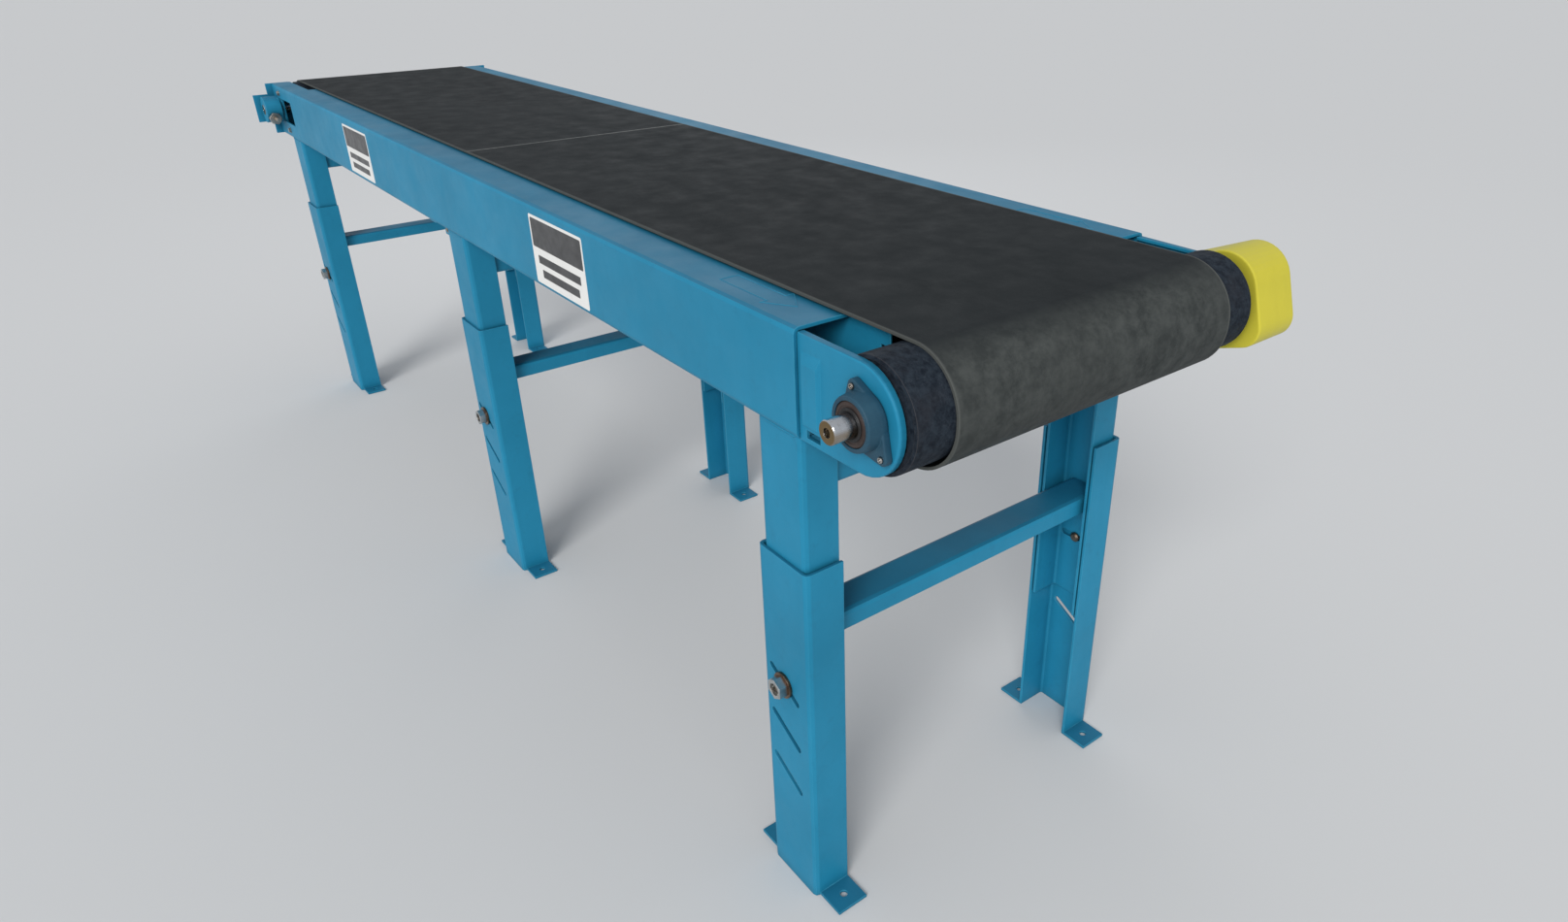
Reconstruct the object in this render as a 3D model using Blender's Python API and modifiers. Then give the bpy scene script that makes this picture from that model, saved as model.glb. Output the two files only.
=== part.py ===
"""Belt conveyor section: slider bed, head and tail pulleys, and three adjustable leg frames.

Units are metres, +Z is up and the floor is z = 0. Every position below is given from the datum,
an empty on the floor under the head end of the side channels, on the belt's centre line.
+X runs along the belt towards the head pulley. The near side is -Y and the far side is +Y.
"""
import math

import bmesh
import bpy
from mathutils import Matrix, Vector

# ---------------------------------------------------------------- driving dimensions
CLEAR = 0.0003                    # gap between pieces that touch
RUNNING_FIT = 0.00006             # radial clearance of a shaft in its bore

SHEET = 0.005                     # folded frame plate
BEND = 0.008                      # outer radius of a fold
TOP_Z = 1.000                     # top of the side channels
WEB_HEIGHT = 0.152
HALF_WIDTH = 0.339                # centre line to the channels' outer faces
CHANNEL_LENGTH = 2.638
TOP_FLANGE = 0.0895
LOW_FLANGE = 0.055
BOTTOM_Z = TOP_Z - WEB_HEIGHT
WEB_INSIDE = HALF_WIDTH - SHEET

AXIS_Z = 0.928                    # height of both pulley axes
HEAD_X = 0.1385
TAIL_X = -2.843
PULLEY_R = 0.0745
DRUM_WALL = 0.006
HEAD_DRUM_HALF = 0.3232
TAIL_DRUM_HALF = 0.279
SHAFT_R = 0.0155
BELT_THICK = 0.004
BELT_HALF = 0.265
BELT_SAG = 0.0062                 # the return run hangs this far below the pulleys

BED_THICK = 0.0025
BED_HALF = 0.2485
BED_SKIRT = 0.070
BED_HEAD_X = 0.077
BED_TAIL_X = -2.705
SKIRT_CLIP = 0.018                # the skirts' end is cut back at the head pulley
SKIRT_LEFT = 0.0275               # depth of skirt that stays there

PLATE_R = 0.0733                  # round nose of the head end plates
PLATE_NOSE_X = 0.1215
PLATE_NOSE_Z = 0.9213
PLATE_RIM = 0.010
PLATE_ROUND = 0.003               # rounding of the nose's outer edge
PLATE_TONGUE = 0.120
RIB_FOOT_X = (0.0085, 0.0470)     # the pressed rib slopes from its foot to its crest
RIB_FOOT_Z = (0.8715, 0.9720)
RIB_CREST_X = (0.0125, 0.0425)
RIB_CREST_Z = (0.8750, 0.9570)
RIB_HEIGHT = 0.0045

FRAME_X = {"head": 0.0, "middle": -1.2314, "tail": -2.6726}
LEG_CENTRE = -0.050               # leg centre from its frame's place
LOWER_WIDTH = 0.119
LOWER_TOP = 0.639
LOWER_FLANGE = 0.066
UPPER_WIDTH = 0.101
UPPER_BOTTOM = 0.284
UPPER_FLANGE = 0.060
UPPER_FACE = HALF_WIDTH - SHEET - CLEAR
TAB_REACH = 0.0513
TAB_HOLE_R = 0.0065

SLOT_COUNT = 3                    # sloping adjusting slots in each lower leg
SLOT_Z = 0.409
SLOT_PITCH = 0.0905
SLOT_SLOPE = math.radians(30.0)
SLOT_HALF = 0.0365
SLOT_R = 0.006
SLOT_OFFSET = -0.0065
UPPER_SLOT_HALF = 0.0275
BOLT_R = 0.0055
BOLT_HEAD_R = 0.0094
NUT_FLATS = 0.0305
NUT_HEIGHT = 0.0148
NUT_FLANGE_R = 0.0215
NUT_FLANGE = 0.004

TAIL_LENGTH = 0.2435
TAIL_SEAM = 0.0015
TAKE_UP_HALF = 0.035              # half height of the take-up opening
TAKE_UP_END = (-2.872, -2.665)
BLOCK_R = 0.039
BLOCK_NECK_HALF = 0.026
SCREW_R = 0.006
SCREW_Y = 0.366
SCREW_Z = 0.905

ROLLER_X = -1.430
ROLLER_R = 0.021
ROLLER_HALF = 0.270
ROLLER_SHAFT_R = 0.006

GUARD_INNER = 0.3445
GUARD_OUTER = 0.4360
GUARD_WALL = 0.003
GUARD_ROUND = 0.0025              # rounding of the guard's outer edges
GUARD_TILT = math.radians(18.0)
GUARD_ROUNDS = ((0.017, 0.014, 0.055), (0.036, -0.047, 0.034), (-0.075, 0.041, 0.020),
                (-0.075, -0.061, 0.020))  # in the guard's own tilted axes, from the shaft

BRACKET_REACH = 0.400             # outer edge of the take-up brackets


def guard_round(across, up, radius):
    """One round of the shaft guard's outline as (x, z, radius)."""
    x = HEAD_X + across * math.cos(GUARD_TILT) - up * math.sin(GUARD_TILT)
    z = AXIS_Z + across * math.sin(GUARD_TILT) + up * math.cos(GUARD_TILT)
    return x, z, radius


# The datum is placed so that the origin is under the middle of the whole object.
BELT_OUTER_R = PULLEY_R + CLEAR + BELT_THICK
TAIL_REACH = TAIL_X - BELT_OUTER_R
GUARD_OUTLINE = [guard_round(*entry) for entry in GUARD_ROUNDS]
HEAD_REACH = max(x + radius for x, z, radius in GUARD_OUTLINE)
DATUM_X = -(TAIL_REACH + HEAD_REACH) / 2.0
DATUM_Y = -(GUARD_OUTER - BRACKET_REACH) / 2.0

SIDES = {"near": -1, "far": 1}

# ---------------------------------------------------------------- scene
for old in list(bpy.data.objects):
    bpy.data.objects.remove(old, do_unlink=True)

PARTS = bpy.data.collections.new("belt_conveyor_section")
CUTTERS = bpy.data.collections.new("cutters")
bpy.context.scene.collection.children.link(PARTS)
bpy.context.scene.collection.children.link(CUTTERS)

DATUM = bpy.data.objects.new("datum", None)
DATUM.location = (DATUM_X, DATUM_Y, 0.0)
PARTS.objects.link(DATUM)


def material(name, colour, roughness, metallic):
    made = bpy.data.materials.new(name)
    made.use_nodes = True
    shader = made.node_tree.nodes["Principled BSDF"]
    shader.inputs["Base Color"].default_value = (*colour, 1.0)
    shader.inputs["Roughness"].default_value = roughness
    shader.inputs["Metallic"].default_value = metallic
    return made


BLUE_PAINT = material("blue_paint", (0.040, 0.250, 0.400), 0.42, 0.0)
DARK_BLUE_PAINT = material("dark_blue_paint", (0.030, 0.110, 0.220), 0.45, 0.0)
YELLOW_PAINT = material("yellow_paint", (0.620, 0.560, 0.080), 0.45, 0.0)
BELT_RUBBER = material("belt_rubber", (0.035, 0.040, 0.042), 0.75, 0.0)
LAGGING = material("pulley_lagging", (0.022, 0.024, 0.040), 0.80, 0.0)
BRIGHT_STEEL = material("bright_steel", (0.620, 0.600, 0.580), 0.25, 1.0)
PLATED_STEEL = material("plated_steel", (0.480, 0.450, 0.400), 0.35, 1.0)
SEAL_RUBBER = material("seal_rubber", (0.035, 0.022, 0.020), 0.60, 0.0)
GALVANISED = material("galvanised_sheet", (0.420, 0.440, 0.450), 0.40, 1.0)


# ---------------------------------------------------------------- modelling helpers
def add_object(name, mesh_builder, paint=None, location=(0.0, 0.0, 0.0), smooth=False):
    """Turn a bmesh into a named object on the datum; without paint it is a cutter or a guide."""
    mesh = bpy.data.meshes.new(name)
    mesh_builder.to_mesh(mesh)
    mesh_builder.free()
    made = bpy.data.objects.new(name, mesh)
    made.location = location
    made.parent = DATUM
    if paint is None:
        CUTTERS.objects.link(made)
        made.hide_render = True
        made.display_type = "WIRE"
    else:
        PARTS.objects.link(made)
        mesh.materials.append(paint)
    if smooth:
        mesh.shade_smooth()
        mesh.set_sharp_from_angle(angle=math.radians(35.0))
    return made


def boolean(target, tool, operation):
    step = target.modifiers.new(f"{operation.lower()}_{tool.name}", "BOOLEAN")
    step.operation = operation
    step.solver = "EXACT"
    step.object = tool
    return target


def box(low, high):
    """A cuboid between two corners."""
    low = Vector(low)
    high = Vector(high)
    size = high - low
    bm = bmesh.new()
    bmesh.ops.create_cube(bm, size=1.0)
    bmesh.ops.scale(bm, vec=size, verts=bm.verts)
    bmesh.ops.translate(bm, vec=(low + high) / 2.0, verts=bm.verts)
    return bm


def side_box(side, x_span, y_span, z_span):
    """A cuboid on one side; y_span is measured from the centre line outwards."""
    ys = sorted(side * y for y in y_span)
    return box((x_span[0], ys[0], z_span[0]), (x_span[1], ys[1], z_span[1]))


def round_hull(rounds, y_from, y_to, segments=32, soft_from=0.0, soft_to=0.0):
    """A prism along Y around circles (x, z, radius); a radius of 0 is a plain corner.

    The edges at its two ends are rounded off by soft_from and soft_to.
    """
    inwards = 1.0 if y_to > y_from else -1.0
    rings = []
    for end, direction, soft in ((y_from, inwards, soft_from), (y_to, -inwards, soft_to)):
        if soft > 0.0:
            rings.append((end, soft))
            rings.append((end + direction * 0.29 * soft, 0.29 * soft))
            rings.append((end + direction * soft, 0.0))
        else:
            rings.append((end, 0.0))
    bm = bmesh.new()
    for x, z, radius in rounds:
        count = segments if radius > 0.0 else 1
        for step in range(count):
            angle = 2.0 * math.pi * step / count
            for y, less in rings:
                place_x = x + max(radius - less, 0.0) * math.cos(angle)
                place_z = z + max(radius - less, 0.0) * math.sin(angle)
                bm.verts.new((place_x, y, place_z))
    hull = bmesh.ops.convex_hull(bm, input=list(bm.verts))
    loose = set(hull["geom_interior"]) | set(hull["geom_unused"])
    bmesh.ops.delete(bm, geom=[item for item in loose if isinstance(item, bmesh.types.BMVert)],
                     context="VERTS")
    bmesh.ops.dissolve_limit(bm, angle_limit=math.radians(0.5), verts=bm.verts, edges=bm.edges)
    bmesh.ops.recalc_face_normals(bm, faces=bm.faces)
    return bm


def rod(axis, centre, radius, low, high, segments=32):
    """A cylinder along one axis; centre holds its other two coordinates, in order."""
    bm = bmesh.new()
    bmesh.ops.create_cone(bm, cap_ends=True, segments=segments, radius1=radius, radius2=radius,
                          depth=high - low)
    middle = (low + high) / 2.0
    if axis == "X":
        turn = Matrix.Rotation(math.pi / 2.0, 4, "Y")
        place = Vector((middle, centre[0], centre[1]))
    elif axis == "Y":
        turn = Matrix.Rotation(math.pi / 2.0, 4, "X")
        place = Vector((centre[0], middle, centre[1]))
    else:
        turn = Matrix.Identity(4)
        place = Vector((centre[0], centre[1], middle))
    bmesh.ops.transform(bm, matrix=Matrix.Translation(place) @ turn, verts=bm.verts)
    return bm


def folded_sheet(name, outline, axis, span, paint, material_left=True, thickness=SHEET, bend=BEND,
                 segments=2):
    """Plate folded along an open outline of its outer face and drawn out along one axis.

    The outline is (y, z), (x, z) or (x, y) for the axes X, Y and Z. The plate's thickness lies
    to the left of the outline's direction, or to its right.
    """
    def place(point, along):
        u, v = point
        return {"X": (along, u, v), "Y": (u, along, v), "Z": (u, v, along)}[axis]

    bm = bmesh.new()
    points = [bm.verts.new(place(point, span[0])) for point in outline]
    edges = [bm.edges.new(pair) for pair in zip(points, points[1:])]
    drawn = bmesh.ops.extrude_edge_only(bm, edges=edges)["geom"]
    moved = [item for item in drawn if isinstance(item, bmesh.types.BMVert)]
    shift = Vector(place((0.0, 0.0), span[1])) - Vector(place((0.0, 0.0), span[0]))
    bmesh.ops.translate(bm, vec=shift, verts=moved)
    bm.normal_update()
    bm.faces.ensure_lookup_table()
    (u0, v0), (u1, v1) = outline[0], outline[1]
    right = Vector(place((v1 - v0, u0 - u1), 0.0))
    outward = right if material_left else -right
    first_edge_face = edges[0].link_faces[0]
    if first_edge_face.normal.dot(outward) < 0.0:
        bmesh.ops.reverse_faces(bm, faces=bm.faces)
    made = add_object(name, bm, paint, smooth=True)
    fold = made.modifiers.new("fold", "BEVEL")
    fold.width = bend
    fold.segments = segments
    fold.limit_method = "ANGLE"
    fold.angle_limit = math.radians(30.0)
    plate = made.modifiers.new("plate", "SOLIDIFY")
    plate.thickness = thickness
    plate.offset = -1.0
    plate.use_even_offset = True
    return made


def turned(name, profile, place, side, paint, segments=48, closed=False):
    """A piece turned about Y. The profile is (radius, distance outwards) from its place.

    It runs down the outer side, from the outermost end to the innermost one.
    """
    bm = bmesh.new()
    points = [bm.verts.new((radius, 0.0, out)) for radius, out in profile]
    for pair in zip(points, points[1:]):
        bm.edges.new(pair)
    if closed:
        bm.edges.new((points[-1], points[0]))
    made = add_object(name, bm, paint, place)
    made.rotation_euler = (-side * math.pi / 2.0, 0.0, 0.0)
    spin = made.modifiers.new("turn", "SCREW")
    spin.angle = 2.0 * math.pi
    spin.steps = segments
    spin.render_steps = segments
    spin.use_merge_vertices = True
    spin.merge_threshold = 0.00001
    spin.use_smooth_shade = True
    return made


# ---------------------------------------------------------------- bed
def side_channel(side_name, side):
    outline = [(side * (HALF_WIDTH - TOP_FLANGE), TOP_Z),
               (side * HALF_WIDTH, TOP_Z),
               (side * HALF_WIDTH, BOTTOM_Z),
               (side * (HALF_WIDTH - LOW_FLANGE), BOTTOM_Z)]
    folded_sheet(f"side_channel_{side_name}", outline, "X", (-CHANNEL_LENGTH, 0.0), BLUE_PAINT,
                 material_left=side < 0)


def slider_bed():
    top = AXIS_Z + PULLEY_R
    outline = [(-BED_HALF, top - BED_SKIRT), (-BED_HALF, top), (BED_HALF, top),
               (BED_HALF, top - BED_SKIRT)]
    bed = folded_sheet("slider_bed", outline, "X", (BED_TAIL_X, BED_HEAD_X), BLUE_PAINT,
                       material_left=False, thickness=BED_THICK, bend=0.004)
    clip = add_object("bed_skirt_clip",
                      box((BED_HEAD_X - SKIRT_CLIP, -BED_HALF - 0.01, top - BED_SKIRT - 0.01),
                          (BED_HEAD_X + 0.01, BED_HALF + 0.01, top - SKIRT_LEFT)))
    boolean(bed, clip, "DIFFERENCE")


def bed_cross_tie(name, x):
    """Inverted channel between the side channels that carries the bed's skirts."""
    top = AXIS_Z + PULLEY_R - BED_SKIRT - CLEAR
    half = 0.030
    depth = 0.055
    outline = [(x - half, top - depth), (x - half, top), (x + half, top), (x + half, top - depth)]
    reach = WEB_INSIDE - CLEAR
    folded_sheet(name, outline, "Y", (-reach, reach), BLUE_PAINT, material_left=False, bend=0.006)


def belt():
    """Endless loop, tight over the top of the pulleys and hanging a little below them."""
    inner_r = PULLEY_R + CLEAR
    ends = [(x, z) for x in (HEAD_X, TAIL_X) for z in (AXIS_Z, AXIS_Z - BELT_SAG)]
    loop = add_object("belt", round_hull([(x, z, BELT_OUTER_R) for x, z in ends],
                                         -BELT_HALF, BELT_HALF, 64), BELT_RUBBER, smooth=True)
    hollow = add_object("belt_hollow", round_hull([(x, z, inner_r) for x, z in ends],
                                                  -BELT_HALF - 0.01, BELT_HALF + 0.01, 64))
    boolean(loop, hollow, "DIFFERENCE")


# ---------------------------------------------------------------- pulleys and bearings
def pulley(name, x, half, paint):
    """Hollow drum: shell, two end discs with round openings, and a hub tube."""
    hub_in = SHAFT_R + RUNNING_FIT
    hub_out = 0.026
    shell_in = PULLEY_R - DRUM_WALL
    disc_out = half - 0.003
    disc_in = disc_out - 0.008
    outer = [(PULLEY_R, half), (PULLEY_R, -half), (shell_in, -half), (shell_in, -disc_out),
             (hub_in, -disc_out), (hub_in, disc_out), (shell_in, disc_out), (shell_in, half)]
    drum = turned(name, outer, (x, 0.0, AXIS_Z), -1, paint, closed=True)
    cavity = add_object(f"{name}_cavity", rod("Y", (x, AXIS_Z), shell_in, -disc_in, disc_in, 48))
    hub = add_object(f"{name}_hub", rod("Y", (x, AXIS_Z), hub_out, -half, half, 24))
    boolean(cavity, hub, "DIFFERENCE")
    boolean(drum, cavity, "DIFFERENCE")
    opening_r = 0.012
    opening_place = (hub_out + shell_in) / 2.0
    for number in range(3):
        angle = math.radians(90.0 + 120.0 * number)
        centre = (x + opening_place * math.cos(angle), AXIS_Z + opening_place * math.sin(angle))
        opening = add_object(f"{name}_opening_{number}", rod("Y", centre, opening_r, -half, half, 8))
        boolean(drum, opening, "DIFFERENCE")


def shaft(name, x, near_end, far_end, paint):
    """Turned shaft with chamfered ends and a centre hole in the near end."""
    chamfer = 0.0012
    hole_r = 0.0062
    hole_depth = 0.012
    profile = [(0.0, near_end - hole_depth), (hole_r, near_end - hole_depth + 0.002),
               (hole_r, near_end), (SHAFT_R - chamfer, near_end), (SHAFT_R, near_end - chamfer),
               (SHAFT_R, -far_end + chamfer), (SHAFT_R - chamfer, -far_end), (0.0, -far_end)]
    turned(name, profile, (x, 0.0, AXIS_Z), -1, paint)


HOUSING_BOLTS = ((-0.0174, 0.0379), (0.0352, -0.0364), (-0.0370, -0.0270))  # from the shaft
HOUSING_PLATE = 0.0100
HOUSING_FRONT = 0.0270
HOUSING_R = 0.0360                    # middle of the flange
HOUSING_LOBE_R = 0.0088
HOUSING_LIP = 0.0020                  # rounding of the flange's and the boss's front edges
BOSS_FOOT_R = 0.0375
BOSS_R = 0.0350
SPOT_FACE_R = 0.0048
SPOT_FACE = 0.0006
INSERT_R = 0.0288


def ring_hull(rings, segments=32):
    """The smallest solid around circles (x, y, z, radius) that stand square to Y."""
    bm = bmesh.new()
    for x, y, z, radius in rings:
        count = segments if radius > 0.0 else 1
        for step in range(count):
            angle = 2.0 * math.pi * step / count
            bm.verts.new((x + radius * math.cos(angle), y, z + radius * math.sin(angle)))
    hull = bmesh.ops.convex_hull(bm, input=list(bm.verts))
    loose = set(hull["geom_interior"]) | set(hull["geom_unused"])
    bmesh.ops.delete(bm, geom=[item for item in loose if isinstance(item, bmesh.types.BMVert)],
                     context="VERTS")
    bmesh.ops.dissolve_limit(bm, angle_limit=math.radians(0.5), verts=bm.verts, edges=bm.edges)
    bmesh.ops.recalc_face_normals(bm, faces=bm.faces)
    return bm


def head_bearing(side_name, side):
    """Three-bolt flanged housing with a boss, and the bearing insert it holds."""
    face = UPPER_FACE + CLEAR
    flange = face + HOUSING_PLATE
    front = face + HOUSING_FRONT
    bolts = [(HEAD_X + x, AXIS_Z + z) for x, z in HOUSING_BOLTS]
    rounds = [(HEAD_X, AXIS_Z, HOUSING_R)] + [(x, z, HOUSING_LOBE_R) for x, z in bolts]
    housing = add_object(f"head_bearing_housing_{side_name}",
                         round_hull(rounds, side * face, side * flange, 40, soft_to=HOUSING_LIP),
                         DARK_BLUE_PAINT, smooth=True)
    boss = turned(f"housing_boss_{side_name}",
                  [(0.0, front), (BOSS_R - HOUSING_LIP, front),
                   (BOSS_R - 0.3 * HOUSING_LIP, front - 0.3 * HOUSING_LIP),
                   (BOSS_R, front - HOUSING_LIP), (BOSS_FOOT_R, flange - HOUSING_LIP),
                   (BOSS_FOOT_R, face + 0.002), (0.0, face + 0.002)],
                  (HEAD_X, 0.0, AXIS_Z), side, None, segments=40)
    boolean(housing, boss, "UNION")
    seat = add_object(f"housing_seat_{side_name}",
                      side_rod(side, (HEAD_X, AXIS_Z), INSERT_R + CLEAR, face - 0.01, front + 0.01))
    boolean(housing, seat, "DIFFERENCE")
    for number, bolt in enumerate(bolts):
        pocket = add_object(f"spot_face_{side_name}_{number}",
                            side_rod(side, bolt, SPOT_FACE_R, flange - SPOT_FACE, front, 24))
        boolean(housing, pocket, "DIFFERENCE")
    turned(f"head_bearing_insert_{side_name}",
           [(INSERT_R - 0.0015, front - 0.0005), (INSERT_R, front - 0.002), (INSERT_R, face),
            (SHAFT_R + RUNNING_FIT, face), (SHAFT_R + RUNNING_FIT, front - 0.0015)],
           (HEAD_X, 0.0, AXIS_Z), side, SEAL_RUBBER, closed=True)


def side_rod(side, centre, radius, inner, outer, segments=48):
    """A cylinder along Y on one side, from inner to outer distance from the centre line."""
    low, high = sorted((side * inner, side * outer))
    return rod("Y", centre, radius, low, high, segments)


def head_end_plate(side_name, side):
    """Round-nosed pan that carries the head bearing, with a tongue inside the side channel."""
    face = UPPER_FACE
    back = face - SHEET
    rear_x = 0.0012
    top = PLATE_NOSE_Z + PLATE_R
    bottom = PLATE_NOSE_Z - PLATE_R
    nose = (PLATE_NOSE_X, PLATE_NOSE_Z, PLATE_R)
    plate = add_object(f"head_end_plate_{side_name}",
                       round_hull([(rear_x, bottom, 0.0), (rear_x, top, 0.0), nose],
                                  side * face, side * (face - PLATE_RIM), 40,
                                  soft_from=PLATE_ROUND),
                       BLUE_PAINT, smooth=True)
    hollow = add_object(f"plate_hollow_{side_name}",
                        round_hull([(-0.01, bottom + SHEET, 0.0), (-0.01, top - SHEET, 0.0),
                                    (PLATE_NOSE_X, PLATE_NOSE_Z, PLATE_R - SHEET)],
                                   side * back, side * (back - 0.05), 40))
    boolean(plate, hollow, "DIFFERENCE")
    tongue = add_object(f"plate_tongue_{side_name}",
                        side_box(side, (-PLATE_TONGUE, rear_x + 0.003), (back + 0.0002, face - 0.0002),
                                 (BOTTOM_Z + BEND + CLEAR, TOP_Z - BEND - CLEAR)))
    boolean(plate, tongue, "UNION")
    foot = [(x, side * y, z, 0.0) for y in (face - 0.002, face)
            for x in RIB_FOOT_X for z in RIB_FOOT_Z]
    crest = [(x, side * (face + RIB_HEIGHT), z, 0.0) for x in RIB_CREST_X for z in RIB_CREST_Z]
    rib = add_object(f"plate_rib_{side_name}", ring_hull(foot + crest))
    boolean(plate, rib, "UNION")
    notch = add_object(f"plate_notch_{side_name}",
                       side_box(side, (0.015, 0.044), (back - 0.01, face + 0.01), (0.8550, 0.8665)))
    boolean(plate, notch, "DIFFERENCE")
    bore = add_object(f"plate_bore_{side_name}",
                      side_rod(side, (HEAD_X, AXIS_Z), 0.021, back - 0.01, face + 0.01, 32))
    boolean(plate, bore, "DIFFERENCE")


def shaft_guard():
    """Closed cover over the far end of the head shaft, open at its back around the bearing."""
    guard = add_object("shaft_guard", round_hull(GUARD_OUTLINE, GUARD_INNER, GUARD_OUTER, 40,
                                                 GUARD_ROUND, GUARD_ROUND),
                       YELLOW_PAINT, smooth=True)
    inside = [(x, z, radius - GUARD_WALL) for x, z, radius in GUARD_OUTLINE]
    hollow = add_object("guard_hollow", round_hull(inside, GUARD_INNER + GUARD_WALL,
                                                   GUARD_OUTER - GUARD_WALL, 40))
    boolean(guard, hollow, "DIFFERENCE")
    opening = add_object("guard_opening", rod("Y", (HEAD_X, AXIS_Z), 0.048, GUARD_INNER - 0.01,
                                              GUARD_INNER + 0.01, 32))
    boolean(guard, opening, "DIFFERENCE")
    for number, (x, z) in enumerate(((0.097, 0.870), (0.078, 0.945), (0.140, 0.981))):
        foot = add_object(f"guard_foot_{number}", rod("Y", (x, z), 0.006, UPPER_FACE + CLEAR,
                                                      GUARD_INNER + 0.002, 16))
        boolean(guard, foot, "UNION")


# ---------------------------------------------------------------- tail end
def tail_side_frame(side_name, side):
    start = -CHANNEL_LENGTH - TAIL_SEAM
    outline = [(side * (HALF_WIDTH - LOW_FLANGE), TOP_Z),
               (side * HALF_WIDTH, TOP_Z),
               (side * HALF_WIDTH, BOTTOM_Z),
               (side * (HALF_WIDTH - LOW_FLANGE), BOTTOM_Z)]
    frame = folded_sheet(f"tail_side_frame_{side_name}", outline, "X",
                         (start - TAIL_LENGTH, start), BLUE_PAINT, material_left=side < 0)
    opening = add_object(f"take_up_opening_{side_name}",
                         side_box(side, TAKE_UP_END, (WEB_INSIDE - 0.01, HALF_WIDTH + 0.01),
                                  (AXIS_Z - TAKE_UP_HALF, AXIS_Z + TAKE_UP_HALF)))
    boolean(frame, opening, "DIFFERENCE")


def tail_bearing_block(side_name, side):
    """Take-up bearing block: round housing outside, grooved neck in the opening, inner retainer."""
    outer_face = HALF_WIDTH + CLEAR
    inner_face = WEB_INSIDE - CLEAR
    front = 0.3843
    block = add_object(f"tail_bearing_block_{side_name}",
                       side_rod(side, (TAIL_X, AXIS_Z), BLOCK_R, outer_face, front, 32),
                       BLUE_PAINT, smooth=True)
    neck_half = TAKE_UP_HALF - CLEAR
    neck = add_object(f"block_neck_{side_name}",
                      side_box(side, (TAIL_X - BLOCK_NECK_HALF, TAIL_X + BLOCK_NECK_HALF),
                               (inner_face - 0.003, outer_face + 0.003),
                               (AXIS_Z - neck_half, AXIS_Z + neck_half)))
    boolean(block, neck, "UNION")
    retainer = add_object(f"block_retainer_{side_name}",
                          side_box(side, (TAIL_X - 0.031, TAIL_X + 0.031),
                                   (inner_face - 0.006, inner_face),
                                   (AXIS_Z - 0.046, AXIS_Z + 0.046)))
    boolean(block, retainer, "UNION")
    bore = add_object(f"block_bore_{side_name}",
                      side_rod(side, (TAIL_X, AXIS_Z), SHAFT_R + RUNNING_FIT,
                               inner_face - 0.02, front + 0.01))
    boolean(block, bore, "DIFFERENCE")
    thread = add_object(f"block_thread_{side_name}",
                        rod("X", (side * SCREW_Y, SCREW_Z), SCREW_R + RUNNING_FIT,
                            TAIL_X - 0.1, TAIL_X + 0.1, 24))
    boolean(block, thread, "DIFFERENCE")


def take_up_bracket(side_name, side):
    """End plate across the tail of one side frame, with a wing that holds the take-up screw."""
    end_x = -CHANNEL_LENGTH - TAIL_SEAM - TAIL_LENGTH - CLEAR
    plate = add_object(f"take_up_bracket_{side_name}",
                       side_box(side, (end_x - SHEET, end_x), (0.289, 0.357), (BOTTOM_Z, TOP_Z)),
                       BLUE_PAINT)
    wing = add_object(f"bracket_wing_{side_name}",
                      side_box(side, (end_x - SHEET + 0.0002, end_x - 0.0002), (0.345, BRACKET_REACH),
                               (0.886, 0.968)))
    boolean(plate, wing, "UNION")
    hole = add_object(f"bracket_hole_{side_name}",
                      rod("X", (side * SCREW_Y, SCREW_Z), SCREW_R + RUNNING_FIT,
                          end_x - 0.02, end_x + 0.02, 24))
    boolean(plate, hole, "DIFFERENCE")


def take_up_screw(side_name, side):
    """Adjusting screw that turns in the bracket and is threaded through the bearing block."""
    end_x = -CHANNEL_LENGTH - TAIL_SEAM - TAIL_LENGTH - CLEAR
    centre = (side * SCREW_Y, SCREW_Z)
    screw = add_object(f"take_up_screw_{side_name}",
                       rod("X", (0.0, 0.0), SCREW_R, -0.010, 0.142, 24), PLATED_STEEL,
                       (end_x, *centre), smooth=True)
    head = add_object(f"screw_head_{side_name}",
                      rod("X", (0.0, 0.0), 0.0115, -0.0135, -SHEET - CLEAR, 6), None, (end_x, *centre))
    collar = add_object(f"screw_collar_{side_name}",
                        rod("X", (0.0, 0.0), 0.0090, CLEAR, 0.0025, 24), None, (end_x, *centre))
    boolean(screw, head, "UNION")
    boolean(screw, collar, "UNION")


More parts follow.
